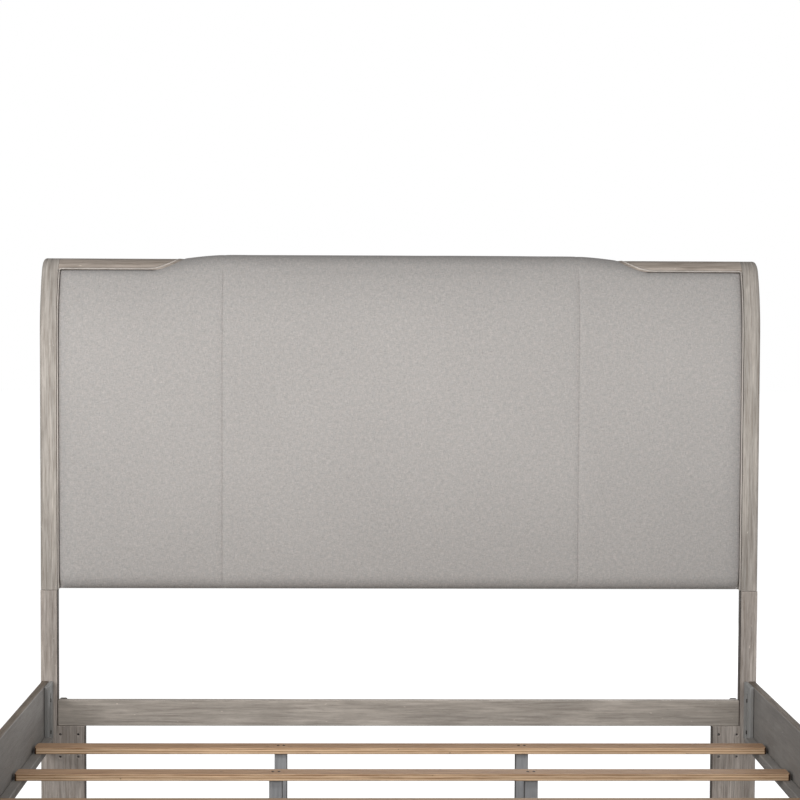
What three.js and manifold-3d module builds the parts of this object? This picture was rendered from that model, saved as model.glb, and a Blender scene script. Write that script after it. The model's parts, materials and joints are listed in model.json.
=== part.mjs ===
// King-size sleigh bed: a linen-upholstered headboard whose top rolls back, a low footboard of the
// same section, bolted side rails with ledger cleats, and loose plywood slats on pairs of legs.
// Millimetres. +Z is up, the head end is at +Y, and the origin is on the floor under the middle.

import * as THREE from "three";
import { mergeVertices } from "three/addons/utils/BufferGeometryUtils.js";
import Module from "manifold-3d";

const wasm = await Module();
wasm.setup();

// ---------- Driving dimensions ----------

const GAP = 0.3; // clearance between pieces that touch
const SKIN_GAP = 0.8; // and between layers wrapped round the roll
const BED_HALF_WIDTH = 1035; // outside of the posts
const INSIDE_LENGTH = 2050; // headboard face to footboard face
const EDGE = 1.5; // eased edge of the boards

const POST_WIDTH = 48;
const POST_DEPTH = 55;
const LEG_DEPTH = 34;
const LEG_FOOT_WIDTH = 126; // the wide lower part of a leg board
const BOLT_HOLE_RADIUS = 3.4;
const BOLT_COLUMNS = [980, 928]; // distance from the middle of the bed
const BOLT_ROWS = [186, 251]; // height

const RAIL_THICKNESS = 22;
const RAIL_BOTTOM = 205;
const RAIL_TOP = 408;
const CLEAT_WIDTH = 27;
const CLEAT_HEIGHT = 22;
const BLOCK_THICKNESS = 12;
const BLOCK_LENGTH = 90;
const BLOCK_BOTTOM = 240;
const BLOCK_TOP = 407;

const SLAT_COUNT = 6;
const SLAT_PITCH = 300;
const SLAT_WIDTH = 57;
const SLAT_THICKNESS = 18;
const SLAT_BOTTOM = 264;
const SLAT_HALF_LENGTH = 1003;
const SLAT_LEG_X = 331;
const SLAT_LEG_WIDTH = 34;
const SLAT_LEG_DEPTH = 38;

const PAD_BACK = 20; // the pad fills a rebate this deep behind the wooden face
const PAD_CROWN = 15; // and stands this far in front of it
const CORE_BACK = 38; // back of the core board
const FRAME_BACK = 44; // back of the inner rails, which the back panel covers
const BEAD_WIDTH = 4.5;
const BEAD_GAP = 3.5; // open groove between a bead and the padding
const BEAD_RISE = 3.2;
const OGEE_START = 733; // where the padding begins to climb over the top roll
const OGEE_WIDTH = 92; // and how far in from there it reaches the top
const ROLL_TAIL_ANGLE = 205; // how far round the roll the fabric goes, in degrees from the face

// Each end of the bed, in its own frame: X across, Y = 0 on the mattress face and +Y outwards.
// The face is upright to straightTop, leans away along an arc, and ends in a scroll.
const LEAN_ANGLE = (24 * Math.PI) / 180;
const HEAD = {
  name: "headboard",
  postBottom: 670,
  panelBottom: 673,
  straightTop: 1400,
  leanRadius: 460,
  rollRadius: 64,
};
const FOOT = {
  name: "footboard",
  postBottom: 200,
  panelBottom: 218,
  straightTop: 400,
  leanRadius: 320,
  rollRadius: 50,
};
const STRETCHER_BOTTOM = 276;
const STRETCHER_TOP = 351;

// ---------- Values worked out from them ----------

const POST_INNER = BED_HALF_WIDTH - POST_WIDTH;
const BEAD_OUTER = POST_INNER - 0.5;
const BEAD_INNER = BEAD_OUTER - BEAD_WIDTH;
const PAD_HALF_WIDTH = BEAD_INNER - BEAD_GAP;
const RAIL_INNER = BED_HALF_WIDTH - 2 - RAIL_THICKNESS;
const OGEE_END = OGEE_START - OGEE_WIDTH;

for (const end of [HEAD, FOOT]) {
  const leanY = end.leanRadius * (1 - Math.cos(LEAN_ANGLE));
  const leanZ = end.straightTop + end.leanRadius * Math.sin(LEAN_ANGLE);
  end.rollY = leanY + end.rollRadius * Math.cos(LEAN_ANGLE);
  end.rollZ = leanZ - end.rollRadius * Math.sin(LEAN_ANGLE);
  end.lip = end.rollZ + 0.49 * end.rollRadius; // lower edge of the bare wood on the roll
  end.reach = end.rollY + end.rollRadius + PAD_CROWN; // outermost point, on the padded roll
}

const HEAD_FACE_Y = (INSIDE_LENGTH + FOOT.reach - HEAD.reach) / 2;
const FOOT_FACE_Y = HEAD_FACE_Y - INSIDE_LENGTH;

// ---------- Materials ----------

function paint(hex, roughness, metalness = 0) {
  return new THREE.MeshStandardMaterial({ color: hex, roughness, metalness });
}

const POST_WOOD = paint(0xa39a90, 0.7);
const LEG_WOOD = paint(0x8f8478, 0.75);
const RAIL_WOOD = paint(0x66625e, 0.7);
const LINEN = paint(0xb5b1ad, 0.95);
const PLYWOOD = paint(0xb3966f, 0.65);
const GREY_WOOD = paint(0x868585, 0.7);
const HIDDEN_WOOD = paint(0xb59c78, 0.8);

// ---------- Solids ----------

function solid(geometry) {
  const bare = geometry.index ? geometry.toNonIndexed() : geometry.clone();
  bare.deleteAttribute("normal");
  bare.deleteAttribute("uv");
  const merged = mergeVertices(bare, 1e-3);
  return new wasm.Manifold(
    new wasm.Mesh({
      numProp: 3,
      vertProperties: merged.attributes.position.array,
      triVerts: new Uint32Array(merged.index.array),
    }),
  );
}

function geometryOf(manifold) {
  const mesh = manifold.getMesh();
  const geometry = new THREE.BufferGeometry();
  geometry.setAttribute("position", new THREE.BufferAttribute(mesh.vertProperties, 3));
  geometry.setIndex(new THREE.BufferAttribute(mesh.triVerts, 1));
  geometry.computeVertexNormals();
  return geometry;
}

function extrudeOutline(outline, depth, bevel) {
  return new THREE.ExtrudeGeometry(outline, {
    depth: depth - 2 * bevel,
    curveSegments: 10,
    bevelEnabled: bevel > 0,
    bevelSegments: 1,
    bevelThickness: bevel,
    bevelSize: bevel,
    bevelOffset: -bevel,
  }).translate(0, 0, bevel);
}

// An outline in Y and Z, stretched along X from x0 to x1.
const ALONG_X = new THREE.Matrix4().makeBasis(
  new THREE.Vector3(0, 1, 0),
  new THREE.Vector3(0, 0, 1),
  new THREE.Vector3(1, 0, 0),
);

function alongX(points, x0, x1, bevel = 0) {
  const outline = new THREE.Shape(points);
  return extrudeOutline(outline, x1 - x0, bevel).applyMatrix4(ALONG_X).translate(x0, 0, 0);
}

// An outline in X and Z, stretched along Y from y0 to y1.
const ALONG_Y = new THREE.Matrix4().makeBasis(
  new THREE.Vector3(1, 0, 0),
  new THREE.Vector3(0, 0, 1),
  new THREE.Vector3(0, -1, 0),
);

function alongY(outline, y0, y1, bevel = 0) {
  return extrudeOutline(outline, y1 - y0, bevel).applyMatrix4(ALONG_Y).translate(0, y1, 0);
}

// A board with eased edges that fills the box from [x0, y0, z0] to [x1, y1, z1].
function board(low, high, edge = EDGE) {
  const [x0, y0, z0] = low;
  const [x1, y1, z1] = high;
  const outline = new THREE.Shape();
  outline.moveTo(x0 + edge, y0);
  outline.lineTo(x1 - edge, y0);
  outline.lineTo(x1, y0 + edge);
  outline.lineTo(x1, y1 - edge);
  outline.lineTo(x1 - edge, y1);
  outline.lineTo(x0 + edge, y1);
  outline.lineTo(x0, y1 - edge);
  outline.lineTo(x0, y0 + edge);
  outline.closePath();
  return extrudeOutline(outline, z1 - z0, edge).translate(0, 0, z0);
}

// ---------- The sleigh curve ----------

// The point of the face line, set back by `offset`, on the lean arc or the roll at an angle from +Z.
function leanPoint(end, offset, angle) {
  const radius = end.leanRadius - offset;
  return new THREE.Vector2(
    end.leanRadius - radius * Math.cos(angle),
    end.straightTop + radius * Math.sin(angle),
  );
}

function rollPoint(end, offset, angle) {
  const radius = end.rollRadius - offset;
  return new THREE.Vector2(
    end.rollY - radius * Math.cos(angle),
    end.rollZ + radius * Math.sin(angle),
  );
}

// The points of that line from height z0 up to height z1, both below the top of the roll.
function faceLine(end, offset, z0, z1) {
  const points = [];
  const leanSteps = 10;
  const rollSteps = 6;
  const leanRadius = end.leanRadius - offset;
  const rollRadius = end.rollRadius - offset;
  if (z0 < end.straightTop) points.push(new THREE.Vector2(offset, z0));
  else points.push(leanPoint(end, offset, Math.asin((z0 - end.straightTop) / leanRadius)));
  for (let i = 0; i <= leanSteps; i++) {
    points.push(leanPoint(end, offset, (LEAN_ANGLE * i) / leanSteps));
  }
  for (let i = 1; i <= rollSteps; i++) {
    points.push(rollPoint(end, offset, LEAN_ANGLE + ((Math.PI / 2 - LEAN_ANGLE) * i) / rollSteps));
  }
  const kept = points.filter((p, i) => i === 0 || (p.y > z0 + 1 && p.y < z1 - 1));
  const leanTop = leanPoint(end, offset, LEAN_ANGLE).y;
  if (z1 < end.straightTop) kept.push(new THREE.Vector2(offset, z1));
  else if (z1 < leanTop) {
    kept.push(leanPoint(end, offset, Math.asin((z1 - end.straightTop) / leanRadius)));
  } else kept.push(rollPoint(end, offset, Math.asin((z1 - end.rollZ) / rollRadius)));
  return kept;
}

// Points round the roll between two angles, in degrees.
function rollArc(end, offset, from, to) {
  const steps = Math.max(2, Math.round(Math.abs(to - from) / 8));
  const points = [];
  for (let i = 0; i <= steps; i++) {
    const angle = from + ((to - from) * i) / steps;
    points.push(rollPoint(end, offset, THREE.MathUtils.degToRad(angle)));
  }
  return points;
}

// A sheet that follows the face line between two offsets and two heights.
function curvedBoard(end, front, back, z0, z1) {
  return [...faceLine(end, front, z0, z1), ...faceLine(end, back, z0, z1).reverse()];
}

// The angle round the roll, in degrees, where the line set back by `offset` runs into its underside.
function rollExitAngle(end, offset) {
  let low = 0;
  let high = LEAN_ANGLE;
  const centre = new THREE.Vector2(end.rollY, end.rollZ);
  for (let i = 0; i < 40; i++) {
    const middle = (low + high) / 2;
    if (leanPoint(end, offset, middle).distanceTo(centre) > end.rollRadius) low = middle;
    else high = middle;
  }
  const meet = leanPoint(end, offset, low);
  const angle = Math.atan2(meet.y - end.rollZ, end.rollY - meet.x);
  return { meet, degrees: THREE.MathUtils.radToDeg(angle) + 360 };
}

// Where the lip lies round the roll, in degrees.
function lipAngle(end) {
  return THREE.MathUtils.radToDeg(Math.asin((end.lip - end.rollZ) / end.rollRadius));
}

// The scroll's outline: round the roll from the angle `from`, then down the back to height z0.
function scrollAndBack(end, from, back, z0) {
  const exit = rollExitAngle(end, back);
  const arc = rollArc(end, 0, from, exit.degrees);
  const down = faceLine(end, back, z0, exit.meet.y - 2).reverse();
  return [...arc, ...down];
}

// ---------- Pieces of an end ----------

function post(end, side) {
  const leanTop = leanPoint(end, 0, LEAN_ANGLE).y;
  const leanDegrees = THREE.MathUtils.radToDeg(LEAN_ANGLE);
  const outline = [
    ...faceLine(end, 0, end.postBottom, leanTop - 2),
    ...scrollAndBack(end, leanDegrees, POST_DEPTH, end.postBottom),
  ];
  const x0 = side < 0 ? -BED_HALF_WIDTH : POST_INNER;
  return alongX(outline.reverse(), x0, x0 + POST_WIDTH, 2);
}

function legWithFoot(side) {
  const outline = new THREE.Shape();
  const footInner = BED_HALF_WIDTH - LEG_FOOT_WIDTH;
  const shoulder = STRETCHER_BOTTOM - GAP;
  outline.moveTo(side * footInner, 0);
  outline.lineTo(side * BED_HALF_WIDTH, 0);
  outline.lineTo(side * BED_HALF_WIDTH, HEAD.postBottom - GAP);
  outline.lineTo(side * POST_INNER, HEAD.postBottom - GAP);
  outline.lineTo(side * POST_INNER, shoulder);
  outline.lineTo(side * footInner, shoulder);
  outline.closePath();
  for (const column of BOLT_COLUMNS) {
    for (const row of BOLT_ROWS) {
      const hole = new THREE.Path();
      hole.absarc(side * column, row, BOLT_HOLE_RADIUS, 0, 2 * Math.PI, side > 0);
      outline.holes.push(hole);
    }
  }
  return alongY(outline, 0, LEG_DEPTH, EDGE);
}

function shortLeg(side) {
  const inner = side * (BED_HALF_WIDTH - LEG_FOOT_WIDTH);
  const outer = side * BED_HALF_WIDTH;
  const low = [Math.min(inner, outer), 0, 0];
  const high = [Math.max(inner, outer), LEG_DEPTH, FOOT.postBottom - GAP];
  return board(low, high);
}

// The crest rail: the roll itself, a rebate for the padding, and a neck down to the core board.
function topRail(end, neckBottom) {
  const outline = [
    ...scrollAndBack(end, lipAngle(end), FRAME_BACK, neckBottom),
    ...faceLine(end, PAD_BACK + GAP, neckBottom, end.lip),
  ];
  return alongX(outline.reverse(), -(POST_INNER - GAP), POST_INNER - GAP, 1);
}

function bottomRail(end, height) {
  const low = [-(POST_INNER - GAP), PAD_BACK + GAP, end.panelBottom];
  return board(low, [POST_INNER - GAP, FRAME_BACK, end.panelBottom + height]);
}

function coreBoard(end, z0, z1) {
  const outline = curvedBoard(end, PAD_BACK + GAP, CORE_BACK, z0 + GAP, z1 - GAP);
  return alongX(outline.reverse(), -(POST_INNER - GAP), POST_INNER - GAP);
}

function backPanel(end, z1) {
  const outline = curvedBoard(end, FRAME_BACK + GAP, POST_DEPTH - 1, end.panelBottom, z1);
  return alongX(outline.reverse(), -(POST_INNER - GAP), POST_INNER - GAP);
}

// The line, seen from the front, where padding gives way to bare wood: a smooth climb from the
// level lip to the top of the roll, then straight up. It can be moved inwards and upwards.
function ogeeLine(end, inwards, upwards) {
  const steps = 8;
  const rise = end.rollZ + end.rollRadius - end.lip;
  const points = [];
  for (let i = 0; i <= steps; i++) {
    const angle = ((Math.PI / 2) * i) / steps;
    const x = OGEE_START - (OGEE_WIDTH * i) / steps - inwards;
    points.push([x, end.lip + rise * (1 - Math.cos(angle)) + upwards]);
  }
  points.push([OGEE_END - inwards, end.lip + rise + 40]);
  return points;
}

function pad(end) {
  const top = end.lip - GAP;
  const front = faceLine(end, -PAD_CROWN, end.panelBottom + 25, top - 22);
  const outline = [
    new THREE.Vector2(-2, end.panelBottom),
    new THREE.Vector2(-11, end.panelBottom + 9),
    ...front,
    faceLine(end, -11, top - 40, top - 8).at(-1),
    faceLine(end, -2, top - 40, top).at(-1),
    ...faceLine(end, PAD_BACK, end.panelBottom, top).reverse(),
  ];
  const main = alongX(outline.reverse(), -PAD_HALF_WIDTH, PAD_HALF_WIDTH, 2);
  return geometryOf(solid(main).add(wrap(end)));
}

// The part of the padding that goes over the roll between the two ogees.
function wrap(end) {
  const startLow = end.lip - 60;
  const outline = [
    ...faceLine(end, -PAD_CROWN, startLow, leanPoint(end, -PAD_CROWN, LEAN_ANGLE).y - 2),
    ...rollArc(end, -PAD_CROWN, THREE.MathUtils.radToDeg(LEAN_ANGLE), ROLL_TAIL_ANGLE),
    ...rollArc(end, -SKIN_GAP, ROLL_TAIL_ANGLE, lipAngle(end)),
    faceLine(end, -SKIN_GAP, startLow, end.lip - GAP).at(-1),
    ...faceLine(end, PAD_BACK - 8, startLow, end.lip - GAP).reverse(),
  ];
  const wide = solid(alongX(outline.reverse(), -OGEE_START - 20, OGEE_START + 20));
  const front = new THREE.Shape();
  const line = ogeeLine(end, BEAD_WIDTH + BEAD_GAP, -GAP);
  front.moveTo(OGEE_START + 12, end.lip - 70);
  front.lineTo(OGEE_START + 12, end.lip - GAP);
  for (const [x, z] of line) front.lineTo(x, z);
  for (const [x, z] of [...line].reverse()) front.lineTo(-x, z);
  front.lineTo(-OGEE_START - 12, end.lip - GAP);
  front.lineTo(-OGEE_START - 12, end.lip - 70);
  front.closePath();
  const overTop = solid(alongY(front, -60, end.rollY));
  const narrow = OGEE_END - BEAD_WIDTH - BEAD_GAP;
  const behind = solid(
    board([-narrow, end.rollY - 2, end.rollZ - 200], [narrow, end.rollY + 200, end.lip + 200]),
  );
  return wide.intersect(overTop.add(behind));
}

// The bead runs up beside the post, along the lip of the crest rail, and over the roll.
function bead(end, side) {
  const [x0, x1] = side < 0 ? [-BEAD_OUTER, -BEAD_INNER] : [BEAD_INNER, BEAD_OUTER];
  const low = curvedBoard(end, -BEAD_RISE, PAD_BACK - 1, end.panelBottom, end.lip - GAP);
  const high = curvedBoard(end, -BEAD_RISE, -SKIN_GAP, end.lip - 4, end.lip + BEAD_WIDTH);
  const upright = solid(alongX(low.reverse(), x0, x1));
  const corner = solid(alongX(high.reverse(), x0, x1));
  const skin = [
    ...rollArc(end, -BEAD_RISE, 20, ROLL_TAIL_ANGLE),
    ...rollArc(end, -SKIN_GAP, ROLL_TAIL_ANGLE, 20),
  ];
  const band = solid(alongX(skin.reverse(), side < 0 ? -BEAD_OUTER : 0, side < 0 ? 0 : BEAD_OUTER));
  const strip = new THREE.Shape();
  strip.moveTo(side * BEAD_OUTER, end.lip);
  for (const [x, z] of ogeeLine(end, BEAD_WIDTH, 0)) strip.lineTo(side * x, z);
  for (const [x, z] of ogeeLine(end, 0, BEAD_WIDTH).reverse()) strip.lineTo(side * x, z);
  strip.lineTo(side * BEAD_OUTER, end.lip + BEAD_WIDTH);
  strip.closePath();
  const overTop = solid(alongY(strip, -60, end.rollY));
  const inner = OGEE_END - BEAD_WIDTH;
  const [b0, b1] = side < 0 ? [-OGEE_END, -inner] : [inner, OGEE_END];
  const behind = solid(
    board([b0, end.rollY - 2, end.rollZ - 200], [b1, end.rollY + 200, end.lip + 200], 0.1),
  );
  return geometryOf(upright.add(corner).add(band.intersect(overTop.add(behind))));
}

function stretcher() {
  const low = [-(POST_INNER - GAP), 1, STRETCHER_BOTTOM];
  return board(low, [POST_INNER - GAP, 23, STRETCHER_TOP], 2);
}

function cornerBlock(side) {
  const inner = side * (POST_INNER - 22);
  const outer = side * (POST_INNER - GAP);
  const low = [Math.min(inner, outer), 23 + GAP, STRETCHER_BOTTOM];
  return board(low, [Math.max(inner, outer), 48, STRETCHER_TOP - 1], 3);
}

// ---------- Rails, cleats, blocks and slats ----------

function sideBoard(side, x0, x1, y0, y1, z0, z1, edge) {
  const low = [side < 0 ? -x1 : x0, y0, z0];
  return board(low, [side < 0 ? -x0 : x1, y1, z1], edge);
}

function rail(side) {
  const x1 = BED_HALF_WIDTH - 2;
  const y0 = FOOT_FACE_Y + GAP;
  return sideBoard(side, RAIL_INNER, x1, y0, HEAD_FACE_Y - GAP, RAIL_BOTTOM, RAIL_TOP, 3);
}

function cleat(side) {
  const x1 = RAIL_INNER - GAP;
  const margin = BLOCK_LENGTH + 6;
  const z1 = SLAT_BOTTOM - GAP;
  const y0 = FOOT_FACE_Y + margin;
  return sideBoard(side, x1 - CLEAT_WIDTH, x1, y0, HEAD_FACE_Y - margin, z1 - CLEAT_HEIGHT, z1, 2);
}

function endBlock(side, y0) {
  const x1 = RAIL_INNER - GAP;
  const y1 = y0 + BLOCK_LENGTH;
  return sideBoard(side, x1 - BLOCK_THICKNESS, x1, y0, y1, BLOCK_BOTTOM, BLOCK_TOP, 2);
}

function slat(y) {
  const low = [-SLAT_HALF_LENGTH, y - SLAT_WIDTH / 2, SLAT_BOTTOM];
  return board(low, [SLAT_HALF_LENGTH, y + SLAT_WIDTH / 2, SLAT_BOTTOM + SLAT_THICKNESS], 1);
}

function slatLeg(side, y) {
  const x0 = SLAT_LEG_X - SLAT_LEG_WIDTH / 2;
  const z1 = SLAT_BOTTOM - GAP;
  const y0 = y - SLAT_LEG_DEPTH / 2;
  return sideBoard(side, x0, x0 + SLAT_LEG_WIDTH, y0, y0 + SLAT_LEG_DEPTH, 0, z1, 1.5);
}

// ---------- Assembly ----------

const bed = new THREE.Group();
const SIDES = [
  ["left", -1],
  ["right", 1],
];

function add(parent, name, geometry, material) {
  const mesh = new THREE.Mesh(geometry, material);
  mesh.name = name;
  parent.add(mesh);
}

// An end group is built facing -Y; `flip` names its sides as seen in the finished bed.
function addEnd(group, end, flip, neckBottom, railHeight, backTop) {
  for (const [word, side] of SIDES) {
    add(group, `${end.name}_post_${word}`, post(end, side * flip), POST_WOOD);
    add(group, `${end.name}_bead_${word}`, bead(end, side * flip), POST_WOOD);
  }
  add(group, `${end.name}_top_rail`, topRail(end, neckBottom), POST_WOOD);
  add(group, `${end.name}_bottom_rail`, bottomRail(end, railHeight), HIDDEN_WOOD);
  const coreBottom = end.panelBottom + railHeight;
  add(group, `${end.name}_core_board`, coreBoard(end, coreBottom, neckBottom), HIDDEN_WOOD);
  add(group, `${end.name}_back_panel`, backPanel(end, backTop), LINEN);
  add(group, `${end.name}_pad`, pad(end), LINEN);
}

const headEnd = new THREE.Group();
headEnd.position.y = HEAD_FACE_Y;
addEnd(headEnd, HEAD, 1, 1460, 86, 1500);
for (const [word, side] of SIDES) {
  add(headEnd, `headboard_leg_${word}`, legWithFoot(side), LEG_WOOD);
  add(headEnd, `headboard_corner_block_${word}`, cornerBlock(side), LEG_WOOD);
}
add(headEnd, "headboard_stretcher", stretcher(), LEG_WOOD);
bed.add(headEnd);

const footEnd = new THREE.Group();
footEnd.position.y = FOOT_FACE_Y;
footEnd.rotation.z = Math.PI;
addEnd(footEnd, FOOT, -1, 420, 60, 430);
for (const [word, side] of SIDES) {
  add(footEnd, `footboard_leg_${word}`, shortLeg(-side), LEG_WOOD);
}
bed.add(footEnd);

for (const [word, side] of SIDES) {
  add(bed, `rail_${word}`, rail(side), RAIL_WOOD);
  add(bed, `cleat_${word}`, cleat(side), RAIL_WOOD);
  add(bed, `head_block_${word}`, endBlock(side, HEAD_FACE_Y - BLOCK_LENGTH - GAP), LEG_WOOD);
  add(bed, `foot_block_${word}`, endBlock(side, FOOT_FACE_Y + GAP), LEG_WOOD);
}

const firstSlatY = HEAD_FACE_Y - (INSIDE_LENGTH - (SLAT_COUNT - 1) * SLAT_PITCH) / 2;
for (let i = 0; i < SLAT_COUNT; i++) {
  const y = firstSlatY - i * SLAT_PITCH;
  add(bed, `slat_${i + 1}`, slat(y), PLYWOOD);
  for (const [word, side] of SIDES) {
    add(bed, `slat_${i + 1}_leg_${word}`, slatLeg(side, y), GREY_WOOD);
  }
}

export default bed;
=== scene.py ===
# The looks of a king-size sleigh bed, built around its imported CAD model. Metres, +Z up, head at +Y.

import math

import bmesh
import bpy
import numpy as np
from mathutils import Matrix, Vector, noise
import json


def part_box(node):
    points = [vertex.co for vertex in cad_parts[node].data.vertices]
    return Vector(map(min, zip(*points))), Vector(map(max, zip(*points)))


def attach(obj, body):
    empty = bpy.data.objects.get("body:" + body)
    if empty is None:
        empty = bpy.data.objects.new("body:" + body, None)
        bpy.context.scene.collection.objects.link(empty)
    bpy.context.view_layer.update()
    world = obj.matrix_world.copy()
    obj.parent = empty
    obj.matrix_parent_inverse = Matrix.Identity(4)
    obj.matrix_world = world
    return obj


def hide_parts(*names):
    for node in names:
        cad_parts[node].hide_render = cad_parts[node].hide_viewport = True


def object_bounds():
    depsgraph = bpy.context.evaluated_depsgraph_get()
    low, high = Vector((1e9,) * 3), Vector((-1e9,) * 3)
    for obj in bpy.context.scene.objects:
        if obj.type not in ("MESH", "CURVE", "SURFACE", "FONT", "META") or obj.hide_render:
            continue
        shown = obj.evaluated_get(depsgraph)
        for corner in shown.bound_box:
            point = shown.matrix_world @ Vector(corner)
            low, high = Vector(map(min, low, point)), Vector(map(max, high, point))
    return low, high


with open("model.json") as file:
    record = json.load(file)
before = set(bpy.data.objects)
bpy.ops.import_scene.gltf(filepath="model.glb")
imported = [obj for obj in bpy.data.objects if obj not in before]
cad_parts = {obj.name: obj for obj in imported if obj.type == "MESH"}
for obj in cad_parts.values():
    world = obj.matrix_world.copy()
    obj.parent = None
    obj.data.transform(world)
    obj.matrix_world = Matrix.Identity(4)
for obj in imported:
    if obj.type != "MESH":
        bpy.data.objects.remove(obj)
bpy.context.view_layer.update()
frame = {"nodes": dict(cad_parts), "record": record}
SCENE = bpy.context.scene

# ---------- Sizes ----------

# the wooden ends
LEAN = math.radians(24)
POST_DEPTH = 0.055
FRAME_BACK = 0.044
LIP_SINE = 0.49
TAIL_ANGLE = math.radians(203)
OUTER_ROUNDING = 0.0090
INNER_ROUNDING = 0.0010
FOOT_ROUNDING = 0.0018
JOINT_GAP = 0.0013
# how far short of the roll an outline's front and back stop, so that points don't crowd
FRONT_MARGIN = 0.004
BACK_MARGIN = 0.003

# the ogee, where padding gives way to bare wood
OGEE_START = 0.733
OGEE_WIDTH = 0.092
OGEE_END = OGEE_START - OGEE_WIDTH

# the bead: the room it has, and the part that is seen
BEAD_WIDTH = 0.0045
BEAD_GAP = 0.0035
BEAD_RISE = 0.0034
BEAD_SEEN = 0.0038
BEAD_SHIFT = 0.0005
BEAD_ROOT = 0.0008
BEAD_DEEP_ROOT = 0.0185
BEAD_TURN = 0.005

# the pads
PAD_REBATE = 0.020
PAD_CROWN = 0.0145
ROLL_CROWN = 0.0162
PAD_SUNK = 0.0035
PAD_SWELL = 0.0035
PAD_OVERHANG = 0.0018
PAD_FOOT = 0.0015
PAD_LIP_GAP = 0.0008
PAD_OGEE_GAP = 0.0006
PAD_TAIL_GAP = 0.002
LIP_BLEND = 0.03
ROLL_RIM = 0.010
ROLL_LEAST = 0.26
SIDE_ROLL = 0.044
BOTTOM_ROLL = 0.046
BOTTOM_TUCK = 0.012
LIP_ROLL = 0.030
TAIL_ROLL = 0.020
OGEE_ROLL = 0.140
HEM_DEPTH = 0.007
LINEN_THICKNESS = 0.002
THREAD_PITCH = 0.0011
RIPPLE = 0.0007
SEAM_X = 0.512
SEAM_SPREAD = (0.0011, 0.0024, 0.0042, 0.007, 0.012, 0.018)
# each pull at a seam: how deep, and how far it spreads
SEAM_PULLS = ((0.0020, 0.008), (0.0016, 0.0012))
SEAM_FADE = 0.75

# how close the pad's rows and columns are
COARSE_STEP = 0.012
FINE_STEP = 0.005
OGEE_STEP = 0.0045
TAIL_STEP = 0.008
HEM_STEP = 0.004
HEM_ZONE = 0.03
SEAM_INSIDE = 0.020
SEAM_OUTSIDE = 0.026

# the sheet that is pressed out over each pad
SHEET_START = 0.008
SHEET_ROW_STEP = 0.024
COLUMNS_OUTSIDE_SEAM = 20
COLUMNS_BETWEEN_SEAMS = 42
CLOTH_FRAMES = 20
FULL_SWELL = 0.004

# the end blocks and the slats
GROOVE_WIDTH = 0.020
GROOVE_DEPTH = 0.005
GROOVE_BELOW = 0.012
GROOVE_ABOVE = 0.026
BOLT_LEVELS = (0.360, 0.268)
BOLT_RADIUS = 0.006
BOLT_THICKNESS = 0.006
# a washer and a head: sides, radius at each end, and where each end is, the last four as shares
BOLT_PARTS = ((32, 1.45, 1.40, 0.0, 0.3), (6, 1.0, 0.94, 0.3, 1.0))
CLEAT_SCREWS = 7
CLEAT_SCREW_RADIUS = 0.0042
SLAT_SCREW_RADIUS = 0.0040
SLAT_SCREW_SHIFT = 0.008
SLAT_CORNER = 0.007
SLAT_ROUNDING = 0.0016
SCREW_SIDES = 24
# how far out each ring of a screw head is, as a share of its radius, and how high it stands
SCREW_RINGS = ((1.0, -0.0012), (1.0, 0.0004), (0.82, 0.0008), (0.45, 0.0009))
SCREW_NOTCH = 0.6
SCREW_WELL = -0.0006

SIDES = (("left", -1), ("right", 1))

BODIES = frame["record"]["behaviour"]["bodies"]
BODY_OF = {node_name: body for body, node_names in BODIES.items() for node_name in node_names}


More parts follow.
